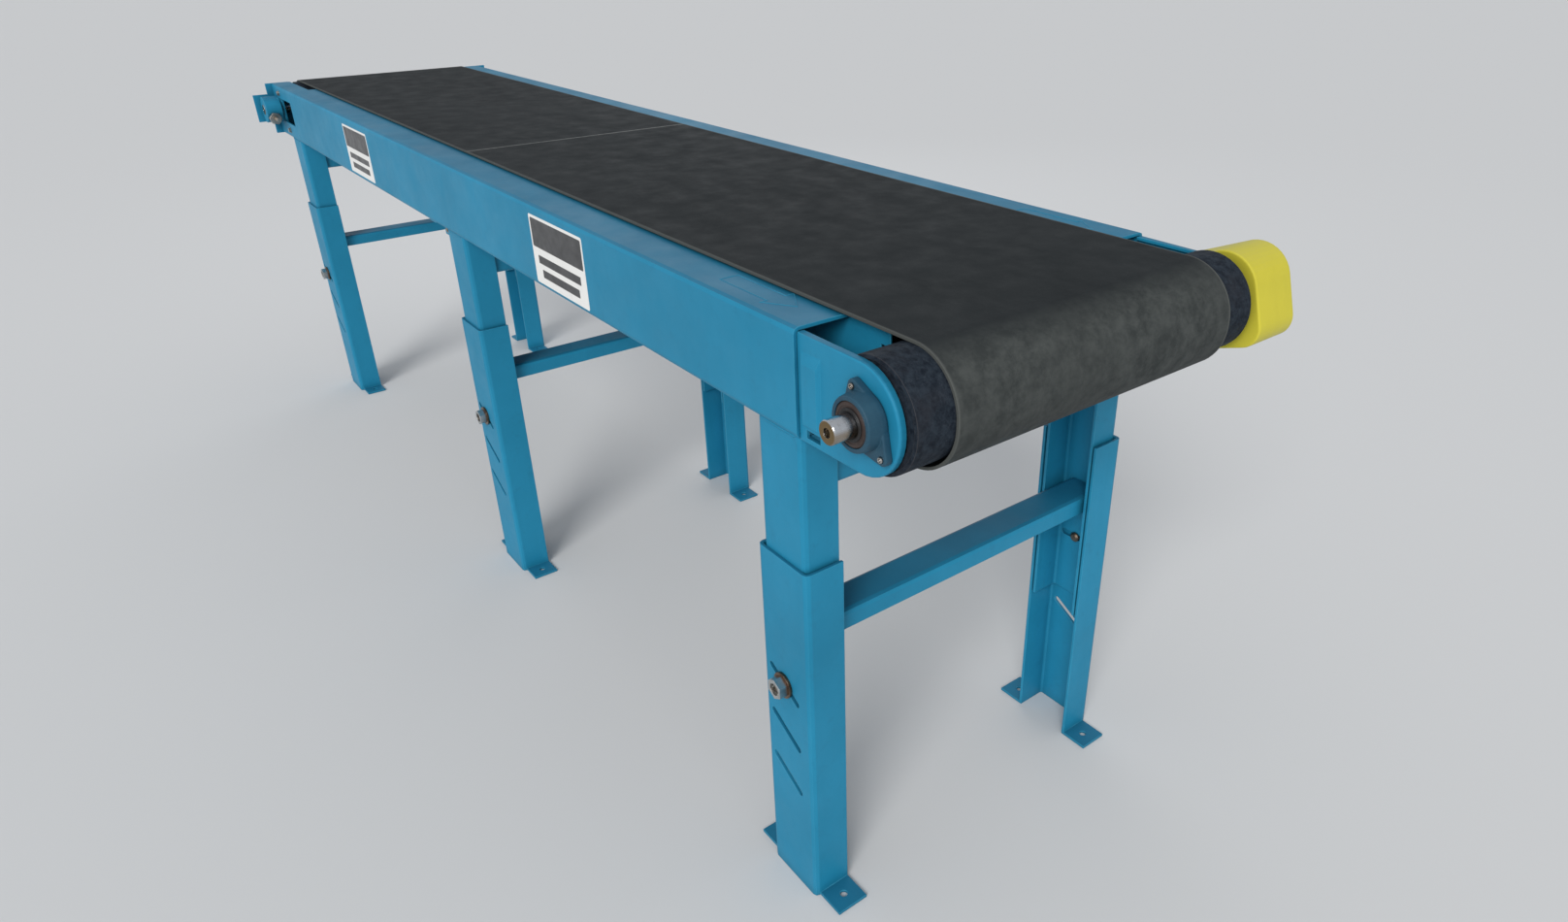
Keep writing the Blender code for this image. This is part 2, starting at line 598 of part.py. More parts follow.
# ---------------------------------------------------------------- return roller
def return_roller():
    axis_z = AXIS_Z - BELT_SAG - BELT_OUTER_R - CLEAR - ROLLER_R
    bore = ROLLER_SHAFT_R + RUNNING_FIT
    turned("return_roller",
           [(ROLLER_R - 0.001, ROLLER_HALF), (ROLLER_R, ROLLER_HALF - 0.001),
            (ROLLER_R, -ROLLER_HALF + 0.001), (ROLLER_R - 0.001, -ROLLER_HALF),
            (bore, -ROLLER_HALF), (bore, ROLLER_HALF)],
           (ROLLER_X, 0.0, axis_z), -1, GALVANISED, segments=32, closed=True)
    reach = 0.306
    turned("return_roller_shaft",
           [(0.0, reach), (ROLLER_SHAFT_R, reach), (ROLLER_SHAFT_R, -reach), (0.0, -reach)],
           (ROLLER_X, 0.0, axis_z), -1, BRIGHT_STEEL, segments=32)
    for side_name, side in SIDES.items():
        top = BOTTOM_Z - CLEAR
        outline = [(side * (WEB_INSIDE - 0.002), top), (side * 0.298, top), (side * 0.298, top - 0.042)]
        bracket = folded_sheet(f"return_roller_bracket_{side_name}", outline, "X",
                               (ROLLER_X - 0.022, ROLLER_X + 0.022), BLUE_PAINT,
                               material_left=side > 0, thickness=0.004, bend=0.006)
        hole = add_object(f"roller_hole_{side_name}",
                          side_rod(side, (ROLLER_X, axis_z), ROLLER_SHAFT_R + CLEAR, 0.28, 0.32, 32))
        boolean(bracket, hole, "DIFFERENCE")


# ---------------------------------------------------------------- leg frames
def slot_cutter(name, side, centre_x, centre_z, half, slope):
    """A round-ended slot through a leg's outer face."""
    run = half * math.cos(slope)
    drop = half * math.sin(slope)
    low, high = sorted((side * (HALF_WIDTH - 0.030), side * (HALF_WIDTH + 0.010)))
    return add_object(name, round_hull([(centre_x - run, centre_z + drop, SLOT_R),
                                        (centre_x + run, centre_z - drop, SLOT_R)], low, high, 12))


def upper_leg(label, side, centre_x):
    half = UPPER_WIDTH / 2.0
    outline = [(centre_x - half, side * (UPPER_FACE - UPPER_FLANGE)),
               (centre_x - half, side * UPPER_FACE),
               (centre_x + half, side * UPPER_FACE),
               (centre_x + half, side * (UPPER_FACE - UPPER_FLANGE))]
    leg = folded_sheet(f"upper_leg_{label}", outline, "Z", (UPPER_BOTTOM, BOTTOM_Z - CLEAR),
                       BLUE_PAINT, material_left=side < 0)
    boolean(leg, slot_cutter(f"upper_slot_{label}", side, centre_x + SLOT_OFFSET, SLOT_Z,
                             UPPER_SLOT_HALF, 0.0), "DIFFERENCE")


def lower_leg(label, side, centre_x):
    """Lower leg channel with its two foot tabs bent outwards and its sloping slots."""
    half = LOWER_WIDTH / 2.0
    tip = HALF_WIDTH - LOWER_FLANGE
    outline = [(centre_x - half, side * tip),
               (centre_x - half, side * HALF_WIDTH),
               (centre_x + half, side * HALF_WIDTH),
               (centre_x + half, side * tip)]
    leg = folded_sheet(f"lower_leg_{label}", outline, "Z", (0.0, LOWER_TOP), BLUE_PAINT,
                       material_left=side < 0)
    for end_name, end in (("tail", -1), ("head", 1)):
        xs = sorted((centre_x + end * (half - SHEET + 0.001), centre_x + end * (half + TAB_REACH)))
        tab = add_object(f"tab_{end_name}_{label}",
                         side_box(side, xs, (tip, HALF_WIDTH - 0.009), (0.0, SHEET)))
        boolean(leg, tab, "UNION")
        hole_x = centre_x + end * (half + TAB_REACH / 2.0)
        hole = add_object(f"tab_hole_{end_name}_{label}",
                          rod("Z", (hole_x, side * (tip + 0.028)), TAB_HOLE_R, -0.01, 0.02, 12))
        boolean(leg, hole, "DIFFERENCE")
    for number in range(SLOT_COUNT):
        cutter = slot_cutter(f"slot_{number}_{label}", side, centre_x + SLOT_OFFSET,
                             SLOT_Z - number * SLOT_PITCH, SLOT_HALF, SLOT_SLOPE)
        boolean(leg, cutter, "DIFFERENCE")


def height_clamp(label, side, centre_x):
    """Round-headed bolt from inside the upper leg and the flanged nut that clamps the legs."""
    place = (centre_x + SLOT_OFFSET, 0.0, SLOT_Z)
    head_back = UPPER_FACE - SHEET - CLEAR
    seat = HALF_WIDTH + CLEAR
    top = seat + NUT_FLANGE + NUT_HEIGHT
    bolt_end = top - 0.0050
    turned(f"height_bolt_{label}",
           [(0.0, bolt_end), (BOLT_R, bolt_end), (BOLT_R, head_back), (BOLT_HEAD_R, head_back),
            (BOLT_HEAD_R, head_back - 0.003), (0.006, head_back - 0.006), (0.0, head_back - 0.006)],
           place, side, PLATED_STEEL, segments=16)
    nut = add_object(f"height_nut_{label}",
                     side_rod(side, (0.0, 0.0), NUT_FLATS / math.sqrt(3.0),
                              seat + NUT_FLANGE - 0.001, top, 6), PLATED_STEEL, place)
    flange = add_object(f"nut_flange_{label}",
                        side_rod(side, (0.0, 0.0), NUT_FLANGE_R, seat, seat + NUT_FLANGE, 24),
                        None, place)
    boolean(nut, flange, "UNION")
    recess = add_object(f"nut_recess_{label}",
                        side_rod(side, (0.0, 0.0), 0.0105, top - 0.0090, top + 0.01, 16), None, place)
    boolean(nut, recess, "DIFFERENCE")
    bore = add_object(f"nut_bore_{label}",
                      side_rod(side, (0.0, 0.0), BOLT_R + CLEAR, seat - 0.01, top + 0.01, 16),
                      None, place)
    boolean(nut, bore, "DIFFERENCE")


def leg_ties(frame_name, frame_x):
    """The deep channel under the bed and the flat brace that join a frame's two upper legs."""
    reach = UPPER_FACE - SHEET - CLEAR
    front = frame_x - 0.008
    back = frame_x - 0.085
    top = 0.8415
    low = 0.755
    folded_sheet(f"leg_top_tie_{frame_name}", [(back, low), (front, low), (front, top), (back, top)],
                 "Y", (-reach, reach), BLUE_PAINT)
    front = frame_x - 0.013
    back = frame_x - 0.079
    top = 0.530
    low = 0.4985
    folded_sheet(f"leg_brace_{frame_name}", [(back, low), (back, top), (front, top), (front, low)],
                 "Y", (-reach, reach), BLUE_PAINT, material_left=False)


# ---------------------------------------------------------------- assembly
slider_bed()
belt()
for tie_name, tie_x in (("head", -0.300), ("middle", -1.300), ("tail", -2.350)):
    bed_cross_tie(f"bed_cross_tie_{tie_name}", tie_x)

pulley("head_pulley", HEAD_X, HEAD_DRUM_HALF, LAGGING)
shaft("head_shaft", HEAD_X, 0.3940, 0.4050, BRIGHT_STEEL)
pulley("tail_pulley", TAIL_X, TAIL_DRUM_HALF, LAGGING)
shaft("tail_shaft", TAIL_X, 0.3860, 0.3860, BRIGHT_STEEL)
shaft_guard()
return_roller()

for side_label, side_sign in SIDES.items():
    side_channel(side_label, side_sign)
    head_end_plate(side_label, side_sign)
    head_bearing(side_label, side_sign)
    tail_side_frame(side_label, side_sign)
    tail_bearing_block(side_label, side_sign)
    take_up_bracket(side_label, side_sign)
    take_up_screw(side_label, side_sign)

for frame_label, frame_place in FRAME_X.items():
    leg_ties(frame_label, frame_place)
    for side_label, side_sign in SIDES.items():
        leg_label = f"{frame_label}_{side_label}"
        leg_x = frame_place + LEG_CENTRE
        upper_leg(leg_label, side_sign, leg_x)
        lower_leg(leg_label, side_sign, leg_x)
        height_clamp(leg_label, side_sign, leg_x)

bpy.context.view_layer.update()
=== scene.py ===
"""Belt conveyor section: finishes, small fittings, floor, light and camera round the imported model.

Lengths are metres. Places are given from the datum: x = 0 at the head end of the side channels,
y = 0 on the belt's centre line, z = 0 on the floor. near is -Y, far is +Y, head is +X, tail is -X.
"""
import math

import bmesh
import bpy
from mathutils import Matrix, Vector


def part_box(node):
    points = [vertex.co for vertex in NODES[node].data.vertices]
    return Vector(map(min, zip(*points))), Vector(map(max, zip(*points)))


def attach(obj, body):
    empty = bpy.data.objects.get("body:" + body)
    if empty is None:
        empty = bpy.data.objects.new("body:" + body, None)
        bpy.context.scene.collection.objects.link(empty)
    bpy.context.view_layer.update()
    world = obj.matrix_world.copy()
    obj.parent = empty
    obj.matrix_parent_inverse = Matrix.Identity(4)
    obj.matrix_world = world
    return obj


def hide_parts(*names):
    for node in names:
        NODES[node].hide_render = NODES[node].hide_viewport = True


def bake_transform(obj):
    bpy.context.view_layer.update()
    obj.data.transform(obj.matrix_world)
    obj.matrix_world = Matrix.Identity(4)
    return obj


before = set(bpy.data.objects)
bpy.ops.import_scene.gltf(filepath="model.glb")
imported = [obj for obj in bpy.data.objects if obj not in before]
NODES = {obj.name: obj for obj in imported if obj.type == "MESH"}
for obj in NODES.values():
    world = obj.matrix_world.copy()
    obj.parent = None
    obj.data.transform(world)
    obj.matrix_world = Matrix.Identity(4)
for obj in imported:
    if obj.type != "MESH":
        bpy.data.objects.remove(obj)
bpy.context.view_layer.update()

SIDES = {"near": -1, "far": 1}
FRAMES = ("head", "middle", "tail")

# ---------------------------------------------------------------- places read from the model
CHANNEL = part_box("side_channel_near")
BELT_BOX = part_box("belt")
DATUM = Vector((CHANNEL[1][0], (BELT_BOX[0][1] + BELT_BOX[1][1]) / 2.0, 0.0))
HALF_WIDTH = DATUM.y - CHANNEL[0][1]
TOP_Z = CHANNEL[1][2]
HEAD_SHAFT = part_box("head_shaft")
TAIL_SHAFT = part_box("tail_shaft")
HEAD_X = (HEAD_SHAFT[0][0] + HEAD_SHAFT[1][0]) / 2.0 - DATUM.x
TAIL_X = (TAIL_SHAFT[0][0] + TAIL_SHAFT[1][0]) / 2.0 - DATUM.x
AXIS_Z = (HEAD_SHAFT[0][2] + HEAD_SHAFT[1][2]) / 2.0
BELT_TOP = BELT_BOX[1][2]
BELT_HALF = (BELT_BOX[1][1] - BELT_BOX[0][1]) / 2.0
SCREW_Y = 0.366             # the take-up screws' axes
SCREW_Z = 0.905
LEG_FACE = DATUM.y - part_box("lower_leg_head_near")[0][1]
NUT_DEPTH = DATUM.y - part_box("height_nut_head_near")[0][1] - LEG_FACE


# ---------------------------------------------------------------- shader helpers
class Shader:
    """A material with a Principled shader and short names for the nodes that feed it."""

    def __init__(self, name, colour, roughness, metallic=0.0, **sockets):
        self.material = bpy.data.materials.new(name)
        self.material.use_nodes = True
        self.tree = self.material.node_tree
        self.shader = self.tree.nodes["Principled BSDF"]
        self.set("Base Color", (*colour, 1.0))
        self.set("Roughness", roughness)
        self.set("Metallic", metallic)
        for socket, value in sockets.items():
            self.set(socket.replace("_", " "), value)
        self.coords = self.node("ShaderNodeTexCoord")

    def set(self, socket, value):
        if isinstance(value, bpy.types.NodeSocket):
            self.tree.links.new(value, self.shader.inputs[socket])
        else:
            self.shader.inputs[socket].default_value = value

    def node(self, kind, **settings):
        made = self.tree.nodes.new(kind)
        for key, value in settings.items():
            setattr(made, key, value)
        return made

    def feed(self, node, **inputs):
        """Links or sets inputs by socket name, or by number as i0, i1 and so on."""
        for key, value in inputs.items():
            numbered = key[0] == "i" and key[1:].isdigit()
            socket = node.inputs[int(key[1:]) if numbered else key]
            if isinstance(value, bpy.types.NodeSocket):
                self.tree.links.new(value, socket)
            else:
                socket.default_value = value
        return node

    def place(self, scale=(1.0, 1.0, 1.0)):
        mapping = self.node("ShaderNodeMapping")
        self.feed(mapping, Vector=self.coords.outputs["Object"], Scale=scale)
        return mapping.outputs["Vector"]

    def noise(self, scale, detail=3.0, roughness=0.55, stretch=(1.0, 1.0, 1.0), distortion=0.0):
        made = self.node("ShaderNodeTexNoise")
        self.feed(made, Vector=self.place(stretch), Scale=scale, Detail=detail, Roughness=roughness,
                  Distortion=distortion)
        return made.outputs["Fac"]

    def cells(self, scale):
        """A random colour in each cell of a fine patchwork."""
        made = self.node("ShaderNodeTexVoronoi")
        self.feed(made, Vector=self.place(), Scale=scale)
        return made.outputs["Color"]

    def wave(self, scale, direction, distortion=0.0):
        made = self.node("ShaderNodeTexWave", bands_direction=direction)
        self.feed(made, Vector=self.place(), Scale=scale, Distortion=distortion)
        return made.outputs["Fac"]

    def span(self, value, low, high, to_low=0.0, to_high=1.0):
        """The value's range from low to high stretched over to_low to to_high, and held beyond."""
        made = self.node("ShaderNodeMapRange")
        self.feed(made, Value=value)
        for key, number in (("From Min", low), ("From Max", high), ("To Min", to_low),
                            ("To Max", to_high)):
            made.inputs[key].default_value = number
        return made.outputs["Result"]

    def maths(self, operation, first, second=0.0):
        made = self.node("ShaderNodeMath", operation=operation)
        return self.feed(made, i0=first, i1=second).outputs["Value"]

    def mix(self, factor, first, second):
        made = self.node("ShaderNodeMix", data_type="RGBA")
        for number, value in ((0, factor), (6, first), (7, second)):
            socket = made.inputs[number]
            if isinstance(value, bpy.types.NodeSocket):
                self.tree.links.new(value, socket)
            elif number == 0:
                socket.default_value = value
            else:
                socket.default_value = (*value, 1.0)
        return made.outputs[2]

    def facing(self, axis):
        """The part of the object-space normal along one axis, -1 to 1."""
        split = self.node("ShaderNodeSeparateXYZ")
        self.feed(split, Vector=self.coords.outputs["Normal"])
        return split.outputs[axis]

    def position(self, axis):
        """The object-space place along one axis."""
        split = self.node("ShaderNodeSeparateXYZ")
        self.feed(split, Vector=self.coords.outputs["Object"])
        return split.outputs[axis]

    def off_centre(self, axis, centre):
        """The distance along one axis from a centre plane."""
        return self.maths("ABSOLUTE", self.maths("SUBTRACT", self.position(axis), centre))

    def rounded(self, radius):
        """The surface normal with edges rounded off to the given radius."""
        soft = self.node("ShaderNodeBevel", samples=8)
        self.feed(soft, Radius=radius)
        return soft.outputs["Normal"]

    def edges(self, radius, low=0.02, high=0.22):
        """1 on convex and concave edges, 0 on open faces."""
        geometry = self.node("ShaderNodeNewGeometry")
        dot = self.node("ShaderNodeVectorMath", operation="DOT_PRODUCT")
        self.feed(dot, i0=self.rounded(radius), i1=geometry.outputs["Normal"])
        return self.span(self.maths("SUBTRACT", 1.0, dot.outputs["Value"]), low, high)

    def corners(self, distance, low, high):
        """Ambient occlusion: 1 deep in corners and gaps, where shade falls, 0 on open faces."""
        made = self.node("ShaderNodeAmbientOcclusion", samples=8)
        self.feed(made, Distance=distance)
        return self.span(made.outputs["AO"], low, high, 1.0, 0.0)

    def bump(self, height, strength, distance, normal=None):
        made = self.node("ShaderNodeBump")
        self.feed(made, Height=height, Strength=strength, Distance=distance)
        if normal is not None:
            self.feed(made, Normal=normal)
        return made.outputs["Normal"]


def paint(name, colour, dust_and_painted_light, worn, roughness, grain=0.10):
    """Sprayed paint on sheet steel: clouding, faint runs, dust spots, painted shade on top faces and in
    corners, rubbed edges.
    """
    s = Shader(name, colour, roughness, Specular_IOR_Level=0.20)
    deep = tuple(0.84 * c for c in colour)
    light = tuple(min(1.08 * c + 0.003, 1.0) for c in colour)
    cloud = s.span(s.noise(2.6, 6.0, 0.62), 0.30, 0.70)
    tone = s.mix(cloud, deep, light)
    streak = s.span(s.noise(5.0, 4.0, 0.6, (9.0, 9.0, 0.7)), 0.50, 0.78, 0.0, 0.30)
    tone = s.mix(streak, tone, deep)
    spots = s.span(s.noise(42.0, 4.0, 0.7), 0.56, 0.80, 0.0, 0.30)
    tone = s.mix(spots, tone, dust_and_painted_light)
    # painted shade: faces that look up are darkened, more in some patches than others
    top = s.span(s.facing("Z"), 0.55, 0.95, 0.0, 0.80)
    tone = s.mix(s.maths("MULTIPLY", top, s.span(s.noise(6.0, 4.0, 0.6), 0.25, 0.65, 0.60, 1.0)),
                 tone, dust_and_painted_light)
    # painted shade: corners and gaps are darkened by ambient occlusion, unevenly
    corner_shade = s.maths("MULTIPLY", s.corners(0.030, 0.25, 0.90),
                    s.span(s.noise(14.0, 4.0, 0.6), 0.2, 0.7, 0.45, 0.75))
    tone = s.mix(corner_shade, tone, tuple(0.42 * c for c in colour))
    rubbed = s.maths("MULTIPLY", s.edges(0.0025),
                     s.span(s.noise(24.0, 4.0, 0.7), 0.36, 0.66, 0.15, 0.90))
    tone = s.mix(rubbed, tone, worn)
    s.set("Base Color", tone)
    s.set("Roughness", s.span(s.noise(11.0, 5.0, 0.65), 0.25, 0.75, roughness - 0.06, roughness + 0.12))
    peel = s.bump(s.noise(420.0, 2.0, 0.5), grain, 0.0004, s.rounded(0.0016))
    s.set("Normal", s.bump(s.noise(3.2, 2.0, 0.5), 0.05, 0.004, peel))
    return s.material


def belt_cover():
    """Dark rubber cover: fine impression, drag marks along the run; at the head a mottled dust tone,
    lightened as painted light.
    """
    s = Shader("belt_rubber_cover", (0.030, 0.035, 0.038), 0.72, Specular_IOR_Level=0.07)
    flat = s.mix(s.span(s.noise(3.2, 6.0, 0.62, (0.7, 1.4, 1.0)), 0.32, 0.70),
                 (0.0150, 0.0182, 0.0202), (0.0205, 0.0243, 0.0265))
    drag = s.span(s.noise(30.0, 4.0, 0.65, (0.10, 1.0, 1.0)), 0.50, 0.80, 0.0, 0.28)
    flat = s.mix(drag, flat, (0.030, 0.034, 0.036))
    flecks = s.span(s.noise(170.0, 3.0, 0.7), 0.60, 0.76, 0.0, 0.35)
    flat = s.mix(flecks, flat, (0.040, 0.044, 0.045))
    mottle = s.span(s.noise(52.0, 6.0, 0.72, (1.0, 0.75, 0.75)), 0.38, 0.64)
    patches = s.span(s.noise(7.0, 3.0, 0.55), 0.32, 0.68, 0.0, 0.45)
    dust_and_painted_light = s.mix(mottle, (0.036, 0.041, 0.041), (0.068, 0.075, 0.073))
    dust_and_painted_light = s.mix(patches, dust_and_painted_light, (0.046, 0.051, 0.050))
    # painted light: the wrap facing the head end takes the lighter mottled tone
    head_wrap_light = s.span(s.facing("X"), 0.12, 0.70, 0.0, 1.0)
    tone = s.mix(head_wrap_light, flat, dust_and_painted_light)
    rim = s.span(s.off_centre("Y", DATUM.y), BELT_HALF - 0.004, BELT_HALF - 0.001, 0.0, 0.70)
    tone = s.mix(rim, tone, (0.105, 0.112, 0.106))
    s.set("Base Color", tone)
    s.set("Roughness", s.span(s.noise(18.0, 4.0, 0.6), 0.3, 0.7, 0.58, 0.78))
    weave = s.maths("MULTIPLY", s.wave(310.0, "X"), s.wave(310.0, "Y"))
    fine = s.bump(weave, 0.10, 0.0003, s.rounded(0.0010))
    s.set("Normal", s.bump(s.noise(160.0, 4.0, 0.65), 0.16, 0.0006, fine))
    return s.material


def lagging():
    """Blue-black rubber lagging with a coarse moulded skin."""
    s = Shader("pulley_lagging_rubber", (0.022, 0.027, 0.036), 0.70, Specular_IOR_Level=0.12)
    tone = s.mix(s.span(s.noise(95.0, 5.0, 0.72), 0.38, 0.62), (0.006, 0.010, 0.017), (0.021, 0.030, 0.042))
    tone = s.mix(s.span(s.noise(240.0, 3.0, 0.7), 0.56, 0.72, 0.0, 0.6), tone, (0.036, 0.042, 0.056))
    tone = s.mix(s.span(s.noise(16.0, 3.0, 0.6), 0.52, 0.74, 0.0, 0.5), tone, (0.022, 0.023, 0.029))
    tone = s.mix(s.edges(0.002), tone, (0.050, 0.050, 0.055))
    s.set("Base Color", tone)
    s.set("Roughness", s.span(s.noise(30.0, 3.0), 0.3, 0.7, 0.60, 0.82))
    s.set("Normal", s.bump(s.noise(210.0, 5.0, 0.7), 0.35, 0.0008, s.rounded(0.0015)))
    return s.material


def steel(name, colour, film, roughness, turned_axis=None, film_amount=0.6, face_axis=None):
    """Machined or plated steel with a thin brown film; turned_axis adds lathe lines along it.

    face_axis puts the film on the ends that face along it, and a brown painted reflection on faces that look
    down."""
    s = Shader(name, colour, roughness, 1.0)
    patch = s.span(s.noise(28.0, 5.0, 0.65), 0.40, 0.74, 0.0, film_amount)
    tone = s.mix(patch, colour, film)
    if face_axis is not None:
        ends = s.span(s.maths("ABSOLUTE", s.facing(face_axis)), 0.80, 0.97, 0.0, 0.90)
        tone = s.mix(ends, tone, film)
        # painted reflection: faces that look down take on the brown film colour, in patches
        reflection_below = s.span(s.facing("Z"), 0.38, 0.02, 0.0, 0.85)
        tone = s.mix(s.maths("MULTIPLY", reflection_below, s.span(s.noise(34.0, 4.0, 0.6), 0.25, 0.60, 0.55, 1.0)),
                     tone, film)
    tone = s.mix(s.span(s.noise(190.0, 3.0, 0.7), 0.60, 0.78, 0.0, 0.35), tone,
                 tuple(0.45 * c for c in film))
    s.set("Base Color", tone)
    s.set("Roughness", s.span(s.noise(60.0, 4.0, 0.6), 0.3, 0.7, roughness - 0.06, roughness + 0.12))
    scratch = s.noise(240.0, 3.0, 0.6)
    rounded = s.rounded(0.0006)
    if turned_axis is None:
        s.set("Normal", s.bump(scratch, 0.10, 0.0003, rounded))
    else:
        lines = s.bump(s.wave(520.0, turned_axis, 1.5), 0.10, 0.00012, rounded)
        s.set("Normal", s.bump(scratch, 0.06, 0.0003, lines))
    return s.material


def nut_steel():
    """Bright zinc on the hexagon, brown rust on the flange against the leg, and some rust tone behind the
    front face as painted shade in the bore.
    """
    zinc = (0.54, 0.56, 0.56)
    s = Shader("plated_nut_steel", zinc, 0.30, 1.0)
    tone = s.mix(s.span(s.noise(60.0, 5.0, 0.65), 0.45, 0.75, 0.0, 0.60), zinc, (0.31, 0.28, 0.24))
    out = s.off_centre("Y", DATUM.y)
    near_leg = s.span(out, LEG_FACE + 0.0042, LEG_FACE + 0.0075, 1.0, 0.0)
    rust_and_bore_shade = s.mix(s.span(s.noise(120.0, 4.0, 0.7), 0.35, 0.65), (0.12, 0.062, 0.036), (0.25, 0.165, 0.11))
    tone = s.mix(near_leg, tone, rust_and_bore_shade)
    # painted shade: everything more than about a millimetre behind the nut's outer face, the bore with it,
    # takes a share of the rust colour
    bore = s.span(out, LEG_FACE + NUT_DEPTH - 0.0012, LEG_FACE + NUT_DEPTH - 0.0004, 1.0, 0.0)
    tone = s.mix(s.maths("MULTIPLY", bore, s.span(s.noise(40.0, 4.0), 0.4, 0.7, 0.10, 0.40)), tone, rust_and_bore_shade)
    s.set("Base Color", tone)
    s.set("Roughness", s.span(s.noise(80.0, 4.0, 0.6), 0.3, 0.7, 0.24, 0.42))
    s.set("Normal", s.bump(s.noise(240.0, 3.0, 0.6), 0.10, 0.0003, s.rounded(0.0007)))
    return s.material


THREAD_PITCH = 0.00175
BANDS_PER_UNIT = 20.0 / (2.0 * math.pi)     # bands of a wave texture at scale 1


def threaded_steel():
    """Plated screw with a rolled thread of 1.75 mm pitch on its shank; head and collar stay plain."""
    s = Shader("plated_thread_steel", (0.46, 0.43, 0.38), 0.34, 1.0)
    s.set("Base Color", s.mix(s.span(s.noise(40.0, 4.0), 0.4, 0.7), (0.48, 0.45, 0.40), (0.30, 0.25, 0.19)))
    thread = s.wave(1.0 / THREAD_PITCH / BANDS_PER_UNIT, "X")
    across = s.maths("SUBTRACT", s.off_centre("Y", DATUM.y), SCREW_Y)
    above = s.maths("SUBTRACT", s.position("Z"), SCREW_Z)
    radius = s.maths("SQRT", s.maths("ADD", s.maths("POWER", across, 2.0), s.maths("POWER", above, 2.0)))
    shank = s.span(radius, 0.0062, 0.0066, 1.0, 0.0)
    rounded = s.rounded(0.0006)
    s.set("Normal", s.bump(s.maths("MULTIPLY", thread, shank), 0.9, 0.0006, rounded))
    s.set("Roughness", s.span(s.noise(70.0, 3.0), 0.3, 0.7, 0.28, 0.46))
    return s.material


def cast_paint():
    """Dull blue paint over a sand-cast bearing housing."""
    s = Shader("housing_cast_paint", (0.022, 0.075, 0.132), 0.46, Specular_IOR_Level=0.28)
    tone = s.mix(s.span(s.noise(30.0, 5.0, 0.65), 0.3, 0.7), (0.012, 0.052, 0.088), (0.020, 0.074, 0.118))
    tone = s.mix(s.maths("MULTIPLY", s.edges(0.0018), 0.55), tone, (0.034, 0.115, 0.185))
    s.set("Base Color", tone)
    s.set("Roughness", s.span(s.noise(50.0, 3.0), 0.3, 0.7, 0.38, 0.56))
    skin = s.bump(s.noise(330.0, 4.0, 0.6), 0.22, 0.0006, s.rounded(0.0022))
    s.set("Normal", s.bump(s.noise(45.0, 3.0, 0.5), 0.15, 0.0012, skin))
    return s.material


def rubber(name, dark, light):
    """Plain moulded rubber in two close tones."""
    s = Shader(name, dark, 0.55, Specular_IOR_Level=0.4)
    s.set("Base Color", s.mix(s.span(s.noise(90.0, 4.0, 0.65), 0.35, 0.7), dark, light))
    s.set("Normal", s.bump(s.noise(380.0, 3.0), 0.16, 0.0004))
    return s.material


def galvanised():
    """Zinc-coated tube with a soft spangle."""
    s = Shader("galvanised_tube", (0.45, 0.47, 0.48), 0.36, 1.0)
    grey = s.node("ShaderNodeRGBToBW")
    s.feed(grey, Color=s.cells(85.0))
    s.set("Base Color", s.mix(s.span(grey.outputs["Val"], 0.2, 0.8), (0.40, 0.42, 0.43), (0.54, 0.56, 0.57)))
    s.set("Roughness", s.span(grey.outputs["Val"], 0.2, 0.8, 0.28, 0.44))
    s.set("Normal", s.bump(s.noise(120.0, 3.0), 0.08, 0.0004))
    return s.material


def vinyl(name, colour, scuffed):
    """Printed sticker film, lightly scuffed."""
    s = Shader(name, colour, 0.38, Coat_Weight=0.25, Coat_Roughness=0.22)
    s.set("Base Color", s.mix(s.span(s.noise(55.0, 5.0, 0.7), 0.55, 0.78, 0.0, 0.5), colour, scuffed))
    s.set("Roughness", s.span(s.noise(35.0, 4.0), 0.3, 0.7, 0.30, 0.50))
    s.set("Normal", s.bump(s.noise(60.0, 3.0), 0.05, 0.0006))
    return s.material


BLUE = paint("blue_paint_finish", colour=(0.013, 0.224, 0.385), dust_and_painted_light=(0.012, 0.118, 0.212),
             worn=(0.062, 0.360, 0.540), roughness=0.46)
YELLOW = paint("yellow_paint_finish", colour=(0.570, 0.510, 0.044), dust_and_painted_light=(0.520, 0.470, 0.062),
               worn=(0.700, 0.640, 0.150), roughness=0.42, grain=0.16)
HOUSING = cast_paint()
BELT = belt_cover()
LAGGING = lagging()
SHAFT = steel("ground_shaft_steel", colour=(0.58, 0.61, 0.65), film=(0.22, 0.145, 0.060), roughness=0.15,
              turned_axis="Y", film_amount=0.30, face_axis="Y")
PLATED = steel("plated_fastener_steel", colour=(0.42, 0.41, 0.39), film=(0.20, 0.155, 0.115),
               roughness=0.30, film_amount=0.75)
# painted shade: the height bolts' steel is dark brown, weathered and darkened further to stand for the shade
# where their ends sit back in the nuts
BOLT = steel("weathered_bolt_steel_painted_shade", colour=(0.26, 0.23, 0.19), film=(0.11, 0.070, 0.042),
             roughness=0.40, film_amount=0.90)
THREADED = threaded_steel()
NUT = nut_steel()
SEAL = rubber("insert_seal_brown", dark=(0.028, 0.019, 0.017), light=(0.055, 0.036, 0.031))
BLACK_SEAL = rubber("shaft_seal_black", dark=(0.008, 0.008, 0.009), light=(0.022, 0.021, 0.022))
ZINC = galvanised()
WHITE_FILM = vinyl("sticker_white_film", colour=(0.80, 0.80, 0.78), scuffed=(0.62, 0.62, 0.60))
BLACK_FILM = vinyl("sticker_black_film", colour=(0.018, 0.018, 0.020), scuffed=(0.075, 0.075, 0.075))
SPLICE = rubber("belt_splice_filler", dark=(0.072, 0.078, 0.076), light=(0.105, 0.112, 0.108))


